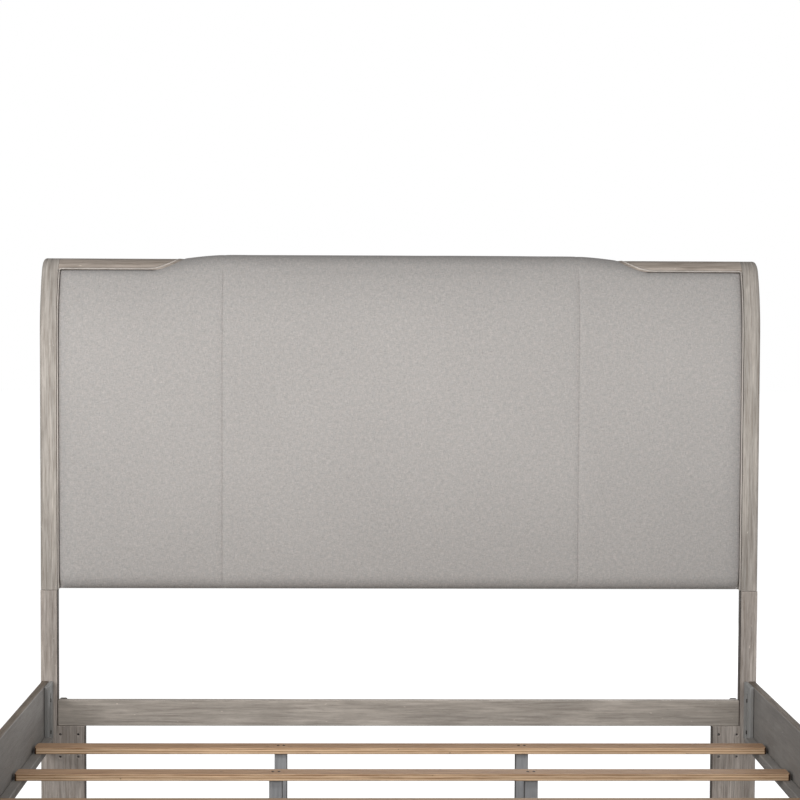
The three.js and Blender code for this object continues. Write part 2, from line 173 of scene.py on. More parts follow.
class End:
    """One end of the bed. `out` is the way along Y that it rolls, away from the mattress."""

    def __init__(self, name, out, straight_top, lean_radius, roll_radius):
        low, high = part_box(f"{name}_post_left")
        pad_low, pad_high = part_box(f"{name}_pad")
        self.name = name
        self.out = out
        self.face_y = low[1] if out > 0 else high[1]
        self.post_bottom = low[2]
        self.bottom = pad_low[2]
        self.half_width = pad_high[0]
        self.straight_top = straight_top
        self.lean_radius = lean_radius
        self.roll_radius = roll_radius
        lean_y = lean_radius * (1 - math.cos(LEAN))
        lean_z = straight_top + lean_radius * math.sin(LEAN)
        self.roll_y = lean_y + roll_radius * math.cos(LEAN)
        self.roll_z = lean_z - roll_radius * math.sin(LEAN)
        self.straight = straight_top - self.bottom
        self.lean_end = self.straight + lean_radius * LEAN
        self.s_lip = self.along_at_angle(math.asin(LIP_SINE))
        self.s_top = self.along_at_angle(math.pi / 2)
        self.s_tail = self.along_at_angle(TAIL_ANGLE)
        self.lip = self.roll_z + LIP_SINE * roll_radius

    def along_at_angle(self, angle):
        """Distance along the face to where the roll has turned by angle."""
        return self.lean_end + (angle - LEAN) * self.roll_radius

    def along_at_height(self, z):
        """Distance along the face to a height on the front of the roll."""
        return self.along_at_angle(math.asin(min(1, (z - self.roll_z) / self.roll_radius)))

    def along_at_low_height(self, z):
        """The same below the roll, where the face is straight or leans."""
        if z < self.straight_top:
            return z - self.bottom
        return self.straight + self.lean_radius * math.asin((z - self.straight_top) / self.lean_radius)

    def profile(self, s, d):
        """Local (y, z) of the point s along the wooden face and d in front of it."""
        s = np.asarray(s, float)
        d = np.asarray(d, float) + np.zeros_like(s)
        lean = np.clip((s - self.straight) / self.lean_radius, 0, LEAN)
        lean_y = self.lean_radius - (self.lean_radius + d) * np.cos(lean)
        lean_z = self.straight_top + (self.lean_radius + d) * np.sin(lean)
        roll = LEAN + (s - self.lean_end) / self.roll_radius
        roll_y = self.roll_y - (self.roll_radius + d) * np.cos(roll)
        roll_z = self.roll_z + (self.roll_radius + d) * np.sin(roll)
        y = np.where(s < self.straight, -d, np.where(s < self.lean_end, lean_y, roll_y))
        z = np.where(s < self.straight, self.bottom + s, np.where(s < self.lean_end, lean_z, roll_z))
        return y, z

    def points(self, x, s, d):
        """World points for arrays of x, s and d."""
        y, z = self.profile(s, d)
        return np.stack([np.asarray(x, float) + np.zeros_like(y), self.face_y + self.out * y, z], -1)

    def ogee(self, inwards, upwards, steps=16):
        """The line where padding gives way to bare wood, as (x, s) from the lip to the top."""
        rise = self.roll_z + self.roll_radius - self.lip
        line = []
        for i in range(steps + 1):
            angle = math.pi / 2 * i / steps
            x = OGEE_START - OGEE_WIDTH * i / steps - inwards
            z = self.lip + rise * (1 - math.cos(angle)) + upwards
            line.append((x, self.along_at_height(z)))
        return line


HEAD = End("headboard", out=1, straight_top=1.400, lean_radius=0.460, roll_radius=0.064)
FOOT = End("footboard", out=-1, straight_top=0.400, lean_radius=0.320, roll_radius=0.050)


# ---------- Node helpers ----------


def new_material(name):
    material = bpy.data.materials.new(name)
    material.use_nodes = True
    tree = material.node_tree
    return material, tree, tree.nodes["Principled BSDF"]


def node(tree, kind, inputs=None, **settings):
    made = tree.nodes.new("ShaderNode" + kind)
    for key, value in settings.items():
        setattr(made, key, value)
    put_all(tree, made, inputs or {})
    return made


def put_all(tree, made, inputs):
    for key, value in inputs.items():
        put(tree, made.inputs[key], value)


def put(tree, socket, value):
    if isinstance(value, bpy.types.NodeSocket):
        tree.links.new(value, socket)
    else:
        socket.default_value = value


def math_node(tree, operation, a, b=0.5, clamp=False):
    made = node(tree, "Math", {0: a, 1: b}, operation=operation, use_clamp=clamp)
    return made.outputs[0]


def colour_mix(tree, factor, a, b, blend="MIX"):
    made = node(tree, "Mix", data_type="RGBA", blend_type=blend)
    put(tree, made.inputs[0], factor)
    put(tree, made.inputs[6], a)
    put(tree, made.inputs[7], b)
    return made.outputs[2]


def ramp(tree, value, stops):
    made = node(tree, "ValToRGB", {0: value})
    elements = made.color_ramp.elements
    while len(elements) < len(stops):
        elements.new(0.5)
    for element, (position, level) in zip(elements, stops):
        element.position = position
        element.color = (level, level, level, 1)
    return made.outputs[0]


def stretched(tree, coordinates, scale, stretch, detail=4.0, roughness=0.6, distortion=0.0):
    mapping = node(tree, "Mapping", {"Vector": coordinates, "Scale": stretch})
    settings = {"Scale": scale, "Detail": detail, "Roughness": roughness, "Distortion": distortion}
    return node(tree, "TexNoise", {"Vector": mapping.outputs[0], **settings}).outputs["Fac"]


def toned(tree, base, value, stops):
    """base made lighter or darker by a ramp of value."""
    return colour_mix(tree, 1.0, base, ramp(tree, value, stops), "MULTIPLY")


def set_roughness(tree, shader, value, spread, level):
    """Roughness of level where value is 0, and level + spread where it is 1."""
    rough = node(tree, "Math", {0: value, 1: spread, 2: level}, operation="MULTIPLY_ADD")
    put(tree, shader.inputs["Roughness"], rough.outputs[0])


def set_bump(tree, shader, height, strength, distance):
    bump = node(tree, "Bump", {"Strength": strength, "Distance": distance, "Height": height})
    put(tree, shader.inputs["Normal"], bump.outputs[0])


def edge_wear(tree, radius, amount):
    """Near 1 on edges, 0 on flats: how far a rounded normal turns from the true one."""
    rounded = node(tree, "Bevel", {"Radius": radius}, samples=4)
    true = node(tree, "NewGeometry")
    normals = {0: rounded.outputs[0], 1: true.outputs["Normal"]}
    dot = node(tree, "VectorMath", normals, operation="DOT_PRODUCT")
    away = math_node(tree, "SUBTRACT", 1.0, dot.outputs["Value"])
    return math_node(tree, "MULTIPLY", away, amount, clamp=True)


def srgb(r, g, b):
    def linear(c):
        c /= 255
        return c / 12.92 if c <= 0.04045 else ((c + 0.055) / 1.055) ** 2.4

    return (linear(r), linear(g), linear(b), 1)


def scaled(colour, factor):
    return [min(1, c * factor) for c in colour[:3]] + [1]


# ---------- Materials ----------


def weathered_oak(name, pale, dark, grain, contrast=1.0, wear=1.0, roughness=0.62, curved=False):
    """Grey-washed oak with the grain along one axis: "X", "Y" or "Z".

    Curved wood needs the places that unroll() stores, and then "Z" runs along its curve.
    """
    material, tree, shader = new_material(name)
    pale, dark = srgb(*pale), srgb(*dark)
    place = node(tree, "TexCoord").outputs["Object"]
    if curved:
        place = node(tree, "Attribute", attribute_name="unrolled").outputs["Vector"]
    along, across = 1.3, 26.0
    stretch = [across, across, across]
    stretch["XYZ".index(grain)] = along
    fibre = stretched(tree, place, 7.0, stretch, 9.0, 0.70, 0.25)
    pores = stretched(tree, place, 30.0, stretch, 4.0, 0.7)
    bands = stretched(tree, place, 2.6, stretch, 3.0, 0.55, 0.6)
    wash = stretched(tree, place, 3.4, [max(1.0, s * 0.12) for s in stretch], 3.0, 0.6, 0.5)
    rubbed = stretched(tree, place, 9.0, (1, 1, 1), 5.0, 0.62)

    spread = 0.15 / contrast
    streaks = ramp(tree, fibre, [(0.5 - spread, 0.0), (0.5 + spread, 1.0)])
    base = colour_mix(tree, streaks, dark, pale)
    base = toned(tree, base, bands, [(0.36, 1 - 0.16 * contrast), (0.62, 1 + 0.07 * contrast)])
    pore_mask = ramp(tree, pores, [(0.31, 0.55), (0.42, 0.0)])
    base = colour_mix(tree, pore_mask, base, scaled(dark, 0.42))
    wash_mask = ramp(tree, wash, [(0.52, 0.0), (0.70, 0.55)])
    limed = math_node(tree, "MULTIPLY", wash_mask, streaks)
    base = colour_mix(tree, limed, base, scaled(pale, 1.22))
    base = toned(tree, base, wash, [(0.3, 0.90), (0.6, 1.04)])
    edge = edge_wear(tree, 0.004, 2.2 * wear)
    patch = ramp(tree, rubbed, [(0.40, 0.1), (0.60, 1.0)])
    edge_mask = math_node(tree, "MULTIPLY", edge, patch, clamp=True)
    bare = scaled(pale, 1.45)
    base = colour_mix(tree, edge_mask, base, bare)
    nicks = stretched(tree, place, 46.0, [1.0 if s == along else 2.2 for s in stretch], 3.0, 0.6)
    nick_mask = ramp(tree, nicks, [(0.69, 0.0), (0.73, 0.6)])
    base = colour_mix(tree, nick_mask, base, bare)
    put_all(tree, shader, {"Base Color": base, "Specular IOR Level": 0.35})

    set_roughness(tree, shader, fibre, -0.18, roughness + 0.12)
    height = math_node(tree, "ADD", math_node(tree, "MULTIPLY", fibre, 0.8), pores)
    set_bump(tree, shader, height, 0.45, 0.0010)
    return material


def linen():
    """Heathered plain-weave linen with faint slubs, laid out by the UV map, which is in metres."""
    material, tree, shader = new_material("linen_weave")
    place = node(tree, "TexCoord").outputs["UV"]
    warp_slub = stretched(tree, place, 14.0, (70, 4.0, 1), 5.0, 0.72)
    weft_slub = stretched(tree, place, 14.0, (4.0, 70, 1), 5.0, 0.72)
    heather = stretched(tree, place, 230.0, (1, 1, 1), 5.0, 0.75, 0.2)
    mottle = stretched(tree, place, 96.0, (1, 1, 1), 4.0, 0.75, 0.2)
    cloud = stretched(tree, place, 2.4, (1, 1, 1), 3.0, 0.5)

    threads = math_node(tree, "MULTIPLY", math_node(tree, "ADD", warp_slub, weft_slub), 0.5)
    tone = ramp(tree, threads, [(0.34, 0.0), (0.66, 1.0)])
    base = colour_mix(tree, tone, LINEN_DARK, LINEN_PALE)
    base = toned(tree, base, heather, [(0.33, 0.84), (0.67, 1.10)])
    base = toned(tree, base, mottle, [(0.32, 0.90), (0.68, 1.07)])
    base = toned(tree, base, cloud, [(0.3, 0.97), (0.7, 1.02)])
    warm = ramp(tree, mottle, [(0.42, 0.0), (0.58, 0.5)])
    base = colour_mix(tree, warm, base, (1.03, 0.99, 0.965, 1), "MULTIPLY")
    put_all(tree, shader, {"Base Color": base, "Specular IOR Level": 0.2})
    put_all(tree, shader, {"Sheen Weight": 0.12, "Sheen Roughness": 0.5})

    weave = math_node(tree, "MAXIMUM", weave_band(tree, place, "X"), weave_band(tree, place, "Y"))
    height = math_node(tree, "ADD", weave, math_node(tree, "MULTIPLY", threads, 1.6))
    set_bump(tree, shader, height, 0.45, 0.0005)
    set_roughness(tree, shader, heather, 0.1, 0.86)
    return material


def weave_band(tree, place, direction):
    per_metre = 1 / THREAD_PITCH
    mapping = node(tree, "Mapping", {"Vector": place, "Scale": (per_metre, per_metre, 1)})
    settings = {"Vector": mapping.outputs[0], "Scale": 0.31, "Distortion": 0.6, "Detail": 1.0}
    return node(tree, "TexWave", settings, bands_direction=direction, wave_profile="SIN").outputs["Fac"]


def plywood():
    """Slat stock: a grained face and stacked plies on the edges, told apart by the normal."""
    material, tree, shader = new_material("slat_plywood")
    place = node(tree, "TexCoord").outputs["Object"]
    face_grain = stretched(tree, place, 8.0, (1.2, 22, 22), 7.0, 0.65, 0.3)
    edge_grain = stretched(tree, place, 9.0, (0.9, 30, 52), 7.0, 0.72, 0.35)
    patches = stretched(tree, place, 3.0, (1.0, 9, 9), 4.0, 0.6, 0.4)
    specks = stretched(tree, place, 70.0, (0.5, 1, 1), 3.0, 0.6)
    split = node(tree, "SeparateXYZ", {0: place})
    layers = math_node(tree, "MULTIPLY", split.outputs["Z"], 1 / 0.0036)
    wobble = node(tree, "Math", {0: patches, 1: 1.1, 2: layers}, operation="MULTIPLY_ADD")
    layer = math_node(tree, "PINGPONG", wobble.outputs[0], 1.0)
    mixed = node(tree, "Math", {0: edge_grain, 1: 2.6, 2: layer}, operation="MULTIPLY_ADD")
    bands = ramp(tree, math_node(tree, "MULTIPLY", mixed.outputs[0], 0.35), [(0.42, 0.0), (0.72, 1.0)])

    edge = colour_mix(tree, bands, PLY_EDGE_DARK, PLY_EDGE_PALE)
    edge = toned(tree, edge, edge_grain, [(0.34, 0.78), (0.66, 1.12)])
    edge = toned(tree, edge, patches, [(0.35, 0.86), (0.65, 1.08)])
    face_tone = ramp(tree, face_grain, [(0.35, 0.0), (0.65, 1.0)])
    face = colour_mix(tree, face_tone, PLY_FACE_DARK, PLY_FACE_PALE)
    normal = node(tree, "SeparateXYZ", {0: node(tree, "NewGeometry").outputs["Normal"]})
    upright = math_node(tree, "ABSOLUTE", normal.outputs["Z"])
    base = colour_mix(tree, upright, edge, face)
    speck = ramp(tree, specks, [(0.26, 0.7), (0.33, 0.0)])
    base = colour_mix(tree, speck, base, srgb(74, 50, 34))
    put(tree, shader.inputs["Base Color"], base)
    set_roughness(tree, shader, face_grain, 0.2, 0.5)
    set_bump(tree, shader, edge_grain, 0.3, 0.0006)
    return material


def grey_paint(name, dark, pale):
    """Brushed grey paint on the slat legs, thin on the edges; made darker, it is also the painted shade
    on their inner sides.
    """
    material, tree, shader = new_material(name)
    place = node(tree, "TexCoord").outputs["Object"]
    strokes = stretched(tree, place, 14.0, (12, 12, 1.2), 5.0, 0.6)
    scuffs = stretched(tree, place, 26.0, (1, 1, 1), 5.0, 0.65)
    tone = ramp(tree, strokes, [(0.3, 0.0), (0.7, 1.0)])
    base = colour_mix(tree, tone, srgb(*dark), srgb(*pale))
    edge = edge_wear(tree, 0.002, 1.6)
    patch = ramp(tree, scuffs, [(0.5, 0.0), (0.6, 1.0)])
    worn = math_node(tree, "MULTIPLY", edge, patch, clamp=True)
    put(tree, shader.inputs["Base Color"], colour_mix(tree, worn, base, srgb(186, 170, 148)))
    set_roughness(tree, shader, scuffs, 0.2, 0.45)
    set_bump(tree, shader, strokes, 0.2, 0.0004)
    return material


def dark_steel():
    """Blackened bolt heads and washers."""
    material, tree, shader = new_material("blackened_steel")
    place = node(tree, "TexCoord").outputs["Object"]
    spots = stretched(tree, place, 320.0, (1, 1, 1), 4.0, 0.6)
    tone = ramp(tree, spots, [(0.35, 0.0), (0.65, 1.0)])
    base = colour_mix(tree, tone, srgb(44, 42, 40), srgb(78, 75, 72))
    put_all(tree, shader, {"Base Color": base, "Metallic": 0.85})
    set_roughness(tree, shader, spots, 0.3, 0.3)
    return material


LINEN_PALE, LINEN_DARK = srgb(201, 198, 196), srgb(159, 155, 151)
PLY_EDGE_PALE, PLY_EDGE_DARK = srgb(250, 216, 178), srgb(190, 142, 102)
PLY_FACE_PALE, PLY_FACE_DARK = srgb(190, 155, 122), srgb(150, 114, 84)
OAK_UP = weathered_oak("post_oak", (190, 184, 177), (146, 137, 128), "Z", 1.1)
OAK_CURVED = weathered_oak("curved_post_oak", (195, 188, 180), (152, 143, 134), "Z", 1.1, curved=True)
OAK_BEAD = weathered_oak("bead_oak", (203, 196, 189), (176, 168, 160), "Z", 0.6)
# dark oak as painted shade, on the inner sides of the posts and legs and on the corner blocks
OAK_PAINTED_SHADE = weathered_oak("shaded_oak", (99, 89, 82), (72, 64, 58), "Z", 0.8)
OAK_ACROSS = weathered_oak("crest_oak", (197, 185, 174), (150, 137, 125), "X")
OAK_LEG = weathered_oak("leg_oak", (199, 190, 182), (153, 142, 133), "Z", 1.1)
OAK_STRETCHER = weathered_oak("stretcher_oak", (200, 191, 181), (156, 147, 138), "X", 0.8, 2.4)
OAK_RAIL = weathered_oak("rail_oak", (146, 142, 138), (127, 123, 119), "Y", 0.4, 2.4)
OAK_RAIL_OUT = weathered_oak("rail_outer_oak", (176, 167, 159), (136, 126, 117), "Y", 1.0, 1.6)
OAK_RAIL_TOP = weathered_oak("rail_top_oak", (128, 116, 104), (94, 84, 74), "Y", 0.8, 2.4)
OAK_BLOCK = weathered_oak("block_oak", (160, 160, 158), (138, 137, 135), "Z", 0.7, 2.6)
# dark end grain for the slat ends, darkened further as painted shade for the gap beside each rail
SLAT_END_AND_SHADE = weathered_oak("slat_end_grain", (112, 82, 58), (62, 44, 32), "Y", 1.0, 0.3, 0.8)
OAK_INNER = weathered_oak("inner_board", (196, 170, 132), (160, 134, 100), "X", 0.8)
LINEN = linen()
PLYWOOD = plywood()
GREY_PAINT = grey_paint("leg_grey_paint", (151, 152, 155), (175, 176, 178))
# a darker grey as painted shade, for the slat legs' inner sides
GREY_PAINTED_SHADE = grey_paint("leg_shaded_paint", (84, 84, 86), (104, 104, 105))
STEEL = dark_steel()


# ---------- Mesh helpers ----------


def placed(name, data):
    """A new object in the scene."""
    made = bpy.data.objects.new(name, data)
    SCENE.collection.objects.link(made)
    return made


def shaded(name, mesh, material, angle):
    """An object of one material, smooth but for edges sharper than angle, in degrees."""
    mesh.materials.append(material)
    mesh.polygons.foreach_set("use_smooth", [True] * len(mesh.polygons))
    mesh.set_sharp_from_angle(angle=math.radians(angle))
    return placed(name, mesh)


def finish_piece(name, mesh, material, replaced, angle=35):
    """A shaded object that stands for one CAD node and rides its body."""
    piece = shaded(name, mesh, material, angle)
    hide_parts(replaced)
    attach(piece, BODY_OF[replaced])
    return piece


def even_shading(piece):
    """Normals weighted by face area, so that flat faces stay flat beside their rounded edges."""
    weighted = piece.modifiers.new("weighted", "WEIGHTED_NORMAL")
    weighted.keep_sharp = True


def round_edges(bm, edges, width, segments, clamp=False):
    bmesh.ops.bevel(
        bm, geom=edges, offset=width, segments=segments, profile=0.5, affect="EDGES", clamp_overlap=clamp
    )


def mesh_from_bmesh(name, bm):
    bmesh.ops.recalc_face_normals(bm, faces=bm.faces)
    mesh = bpy.data.meshes.new(name)
    bm.to_mesh(mesh)
    bm.free()
    return mesh


def planar_uv(mesh):
    """A UV map in metres: X across, and Z up."""
    layer = mesh.uv_layers.new(name="metres")
    for loop in mesh.loops:
        x, _, z = mesh.vertices[loop.vertex_index].co
        layer.data[loop.index].uv = (x, z)


def paint_side(piece, direction, material, least=0.7):
    """Another material on the faces that look along direction: a real finish on some pieces, painted
    shade on others.
    """
    piece.data.materials.append(material)
    index = len(piece.data.materials) - 1
    for face in piece.data.polygons:
        if face.normal.dot(Vector(direction)) > least:
            face.material_index = index


def eased(node_name, material, width=0.0012, segments=2, groove=None):
    """A copy of a CAD board with its edges rounded, standing for that board.

    groove is what cut_groove takes after the mesh.
    """
    bm = bmesh.new()
    bm.from_mesh(frame["nodes"][node_name].data)
    bmesh.ops.remove_doubles(bm, verts=bm.verts, dist=1e-5)
    bmesh.ops.dissolve_limit(bm, angle_limit=math.radians(1), verts=bm.verts, edges=bm.edges)
    if groove:
        cut_groove(bm, *groove)
    sharp = [e for e in bm.edges if len(e.link_faces) == 2 and e.calc_face_angle(0) > math.radians(25)]
    round_edges(bm, sharp, width, segments, clamp=True)
    mesh = mesh_from_bmesh(node_name + "_board", bm)
    if material == LINEN:
        planar_uv(mesh)
    piece = finish_piece(node_name + "_board", mesh, material, node_name)
    even_shading(piece)
    return piece


def new_verts(grown):
    return [v for v in grown["geom"] if isinstance(v, bmesh.types.BMVert)]


def bridge(bm, rings):
    """Faces between each closed ring of vertices and the next."""
    for a, b in zip(rings, rings[1:]):
        for i in range(len(a)):
            j = (i + 1) % len(a)
            bm.faces.new((a[i], a[j], b[j], b[i]))


def cut_groove(bm, towards, low, high, depth):
    """Sinks the part of the face that looks along X between two corners in (y, z)."""
    cuts = [((0, y, 0), (0, 1, 0)) for y in (low[0], high[0])]
    cuts += [((0, 0, z), (0, 0, 1)) for z in (low[1], high[1])]
    for place, direction in cuts:
        everything = bm.verts[:] + bm.edges[:] + bm.faces[:]
        bmesh.ops.bisect_plane(bm, geom=everything, plane_co=place, plane_no=direction)
    floor = []
    for face in bm.faces:
        middle = face.calc_center_median()
        inside = low[0] < middle.y < high[0] and low[1] < middle.z < high[1]
        if inside and face.normal.x * towards > 0.7:
            floor.append(face)
    sunk = bmesh.ops.extrude_discrete_faces(bm, faces=floor)["faces"]
    bmesh.ops.translate(bm, verts=list({v for f in sunk for v in f.verts}), vec=(-towards * depth, 0, 0))


def extruded(end, name, outline, x0, x1, rounding, material, replaced):
    """A closed outline of local (y, z), stretched along X.

    rounding pairs an X plane with how far the outline's edges there are rounded.
    """
    bm = bmesh.new()
    ring = [bm.verts.new((x0, end.face_y + end.out * y, z)) for y, z in outline]
    cap = bm.faces.new(ring)
    grown = bmesh.ops.extrude_face_region(bm, geom=[cap])
    bmesh.ops.translate(bm, verts=new_verts(grown), vec=(x1 - x0, 0, 0))
    foot = min(z for _, z in outline) + 1e-5
    for plane, width in rounding:
        rims = [e for e in bm.edges if max(abs(v.co.x - plane) for v in e.verts) < 1e-6]
        rims = [e for e in rims if max(v.co.z for v in e.verts) > foot]
        round_edges(bm, rims, width, 5)
    if rounding:
        across = [e for e in bm.edges if max(v.co.z for v in e.verts) < foot]
        across = [e for e in across if abs(e.verts[0].co.x - e.verts[1].co.x) > 0.02]
        round_edges(bm, across, FOOT_ROUNDING, 2)
    piece = finish_piece(name, mesh_from_bmesh(name, bm), material, replaced)
    even_shading(piece)
    return piece


# ---------- The curved ends ----------


def face_points(end, s0, s1, d, step=0.02):
    """Outline points along the face from s0 to s1, dense only where it curves."""
    stops = [s0]
    if s0 < end.straight < s1:
        stops.append(end.straight)
    start = max(s0, end.straight)
    count = max(2, int((s1 - start) / step))
    stops += [start + (s1 - start) * i / count for i in range(1, count + 1)]
    y, z = end.profile(np.array(stops), d)
    return list(zip(y.tolist(), z.tolist()))


def roll_exit(end, depth):
    """s and the roll angle where the line set back by depth meets the underside of the roll."""
    low, high = end.straight, end.lean_end
    for _ in range(50):
        middle = (low + high) / 2
        y, z = end.profile(np.array([middle]), -depth)
        if math.hypot(y[0] - end.roll_y, z[0] - end.roll_z) > end.roll_radius:
            low = middle
        else:
            high = middle
    y, z = end.profile(np.array([low]), -depth)
    return low, math.atan2(z[0] - end.roll_z, end.roll_y - y[0]) + 2 * math.pi


def roll_points(end, start, stop, d=0.0, steps=64):
    radius = end.roll_radius + d
    angles = [start + (stop - start) * i / steps for i in range(steps + 1)]
    return [(end.roll_y - radius * math.cos(a), end.roll_z + radius * math.sin(a)) for a in angles]


def unroll(end, mesh):
    """Stores each vertex's place in the curved wood: x, depth, and distance along the curve."""
    places = np.empty(len(mesh.vertices) * 3)
    mesh.vertices.foreach_get("co", places)
    x, y, z = places.reshape(-1, 3).T
    y = (y - end.face_y) * end.out
    lean_y, lean_z = end.lean_radius - y, z - end.straight_top
    roll_y, roll_z = end.roll_y - y, z - end.roll_z
    roll_depth = np.hypot(roll_y, roll_z) - end.roll_radius
    roll_along = end.along_at_angle(np.arctan2(roll_z, roll_y) % (2 * math.pi))
    lean_depth = np.hypot(lean_y, lean_z) - end.lean_radius
    lean_along = end.straight + end.lean_radius * np.arctan2(lean_z, lean_y)
    leaning = lean_z > 0
    rolled = leaning & (roll_depth < 0.0005)
    depth = np.where(rolled, roll_depth, np.where(leaning, lean_depth, -y))
    along = np.where(rolled, roll_along, np.where(leaning, lean_along, z - end.bottom))
    stored = mesh.attributes.new("unrolled", "FLOAT_VECTOR", "POINT")
    stored.data.foreach_set("vector", np.stack([x, depth, along], -1).ravel())


def build_post(end, side_name, side):
    name = f"{end.name}_post_{side_name}"
    low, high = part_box(name)
    s_exit, exit_angle = roll_exit(end, POST_DEPTH)
    s_bottom = end.post_bottom - end.bottom + JOINT_GAP
    front = face_points(end, s_bottom, end.lean_end - FRONT_MARGIN, 0)
    roll = roll_points(end, LEAN, exit_angle)
    back = face_points(end, s_bottom, s_exit - BACK_MARGIN, -POST_DEPTH)
    outline = front + roll + back[::-1]
    outer, inner = (low[0], high[0]) if side < 0 else (high[0], low[0])
    rounding = [(outer, OUTER_ROUNDING), (inner, INNER_ROUNDING)]
    piece = extruded(end, name + "_scroll", outline, low[0], high[0], rounding, OAK_CURVED, name)
    unroll(end, piece.data)
    # the post's inner side, facing the middle, gets painted shade
    paint_side(piece, (-side, 0, 0), OAK_PAINTED_SHADE)
    paint_side(piece, (side, 0, 0), OAK_UP, 0.9)


def build_crest(end):
    name = f"{end.name}_top_rail"
    low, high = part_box(name)
    s_exit, exit_angle = roll_exit(end, FRAME_BACK)
    s_neck = end.along_at_low_height(low[2])
    roll = roll_points(end, math.asin(LIP_SINE), exit_angle)
    back = face_points(end, s_neck, s_exit - BACK_MARGIN, -FRAME_BACK)
    inner = face_points(end, s_neck, end.s_lip - 0.012, -PAD_REBATE - 0.0003)
    shelf = [(inner[-1][0] + 0.006, end.lip - 0.0002)]
    outline = roll + back[::-1] + inner + shelf
    extruded(end, name + "_roll", outline, low[0], high[0], [], OAK_ACROSS, name)


def sweep_on_face(end, path, width, heights, mirror):
    """A half-round moulding along a path of (x, s) on the face; mirror is 1 or -1 across X.

    heights gives, for each point of the path, how far it stands out and how far in it reaches.
    """
    path = np.array(path)
    tangent = np.gradient(path, axis=0)
    tangent /= np.linalg.norm(tangent, axis=1)[:, None]
    across = np.stack([-tangent[:, 1], tangent[:, 0]], -1)
    arc = [math.pi * i / 8 for i in range(9)]
    bm = bmesh.new()
    rings = []
    for point, side, (rise, root) in zip(path, across, heights):
        section = [(width / 2 * math.cos(a), rise * math.sin(a)) for a in arc]
        section += [(-width / 2, -root), (width / 2, -root)]
        w, d = np.array(section).T
        x, s = point[0] + side[0] * w, point[1] + side[1] * w
        rings.append([bm.verts.new(p) for p in end.points(x * mirror, s, d)])
    bridge(bm, rings)
    bm.faces.new(rings[0])
    bm.faces.new(rings[-1][::-1])
    return bm


def build_bead(end, side_name, mirror):
    name = f"{end.name}_bead_{side_name}"
    low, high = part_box(name)
    x_side = max(abs(low[0]), abs(high[0])) - BEAD_WIDTH / 2 - BEAD_SHIFT
    x_end = OGEE_END - BEAD_WIDTH / 2
    s_level = end.s_lip + BEAD_WIDTH / 2
    path = [(x_side, s) for s in np.linspace(0.0005, end.straight, 24)]
    path += [(x_side, s) for s in np.linspace(end.straight, s_level - BEAD_TURN, 40)[1:]]
    for i in range(1, 6):
        angle = math.pi / 2 * i / 6
        in_x, in_s = BEAD_TURN * (1 - math.cos(angle)), BEAD_TURN * (1 - math.sin(angle))
        path.append((x_side - in_x, s_level - in_s))
    path += [(x, s_level) for x in np.linspace(x_side - BEAD_TURN, OGEE_START, 20)]
    path += end.ogee(BEAD_WIDTH / 2, BEAD_WIDTH / 2, 40)[2:-1]
    path += [(x_end, s) for s in np.linspace(end.s_top, end.s_tail, 40)]
    # it sinks into the wood as it goes over the top of the roll
    heights = []
    for _, s in path:
        sunk = min(1, max(0, (s - end.s_lip) / (end.s_top - end.s_lip)))
        root = BEAD_DEEP_ROOT if s < end.s_lip - 0.004 else BEAD_ROOT
        heights.append((BEAD_RISE * (1 - 0.8 * sunk * sunk), root))
    bm = sweep_on_face(end, path, BEAD_SEEN, heights, mirror)
    name_seen = name + "_moulding"
    finish_piece(name_seen, mesh_from_bmesh(name_seen, bm), OAK_BEAD, name, 50)


# ---------- Padding ----------


def pad_outline(end):
    """The pad's edge in (x, s), half of it, from the bottom middle round to the tail's middle."""
    w = end.half_width + PAD_OVERHANG
    ogee = end.ogee(BEAD_WIDTH + BEAD_GAP, -PAD_OGEE_GAP)
    s_end = end.s_tail - PAD_TAIL_GAP
    return (
        [(0, PAD_FOOT), (w, PAD_FOOT), (w, end.s_lip - PAD_LIP_GAP)]
        + [(x, s - PAD_OGEE_GAP) for x, s in ogee]
        + [(ogee[-1][0], s_end), (0, s_end)]
    )


def line_distance(line, x, s):
    """How far points are from a polyline, measured along the face."""
    near = np.full(x.shape, 9.0)
    for (x0, s0), (x1, s1) in zip(line, line[1:]):
        dx, ds = x1 - x0, s1 - s0
        length = max(dx * dx + ds * ds, 1e-12)
        t = np.clip(((x - x0) * dx + (s - s0) * ds) / length, 0, 1)
        near = np.minimum(near, np.hypot(x - x0 - t * dx, s - s0 - t * ds))
    return near


def spaced(start, stop, step):
    count = max(1, round((stop - start) / step))
    return [start + (stop - start) * i / count for i in range(count)]


def near_edge(start, stop, fine_zone=0.04):
    """Spacing that is fine beside both ends and coarse between."""
    return (
        spaced(start, start + fine_zone, FINE_STEP)
        + spaced(start + fine_zone, stop - fine_zone, COARSE_STEP)
        + spaced(stop - fine_zone, stop, FINE_STEP)
    )


def ogee_ends(end):
    """The padding's half-width where the ogee starts, and where it ends."""
    line = end.ogee(BEAD_WIDTH + BEAD_GAP, 0)
    return line[0][0], line[-1][0]


def pad_columns(end):
    """Half the columns, from the middle outwards, with closer ones beside the seam and the edge."""
    w = end.half_width + PAD_OVERHANG
    x_ogee, x_tail = ogee_ends(end)
    columns = spaced(0, SEAM_X - SEAM_INSIDE, COARSE_STEP)
    columns += [SEAM_X - k for k in reversed(SEAM_SPREAD)]
    columns += [SEAM_X]
    columns += [SEAM_X + k for k in SEAM_SPREAD]
    columns += spaced(SEAM_X + SEAM_OUTSIDE, x_tail - HEM_ZONE, COARSE_STEP)
    columns += spaced(x_tail - HEM_ZONE, x_tail, FINE_STEP)
    columns += spaced(x_tail, x_ogee, OGEE_STEP)
    columns += near_edge(x_ogee, w)
    columns.append(w)
    return columns


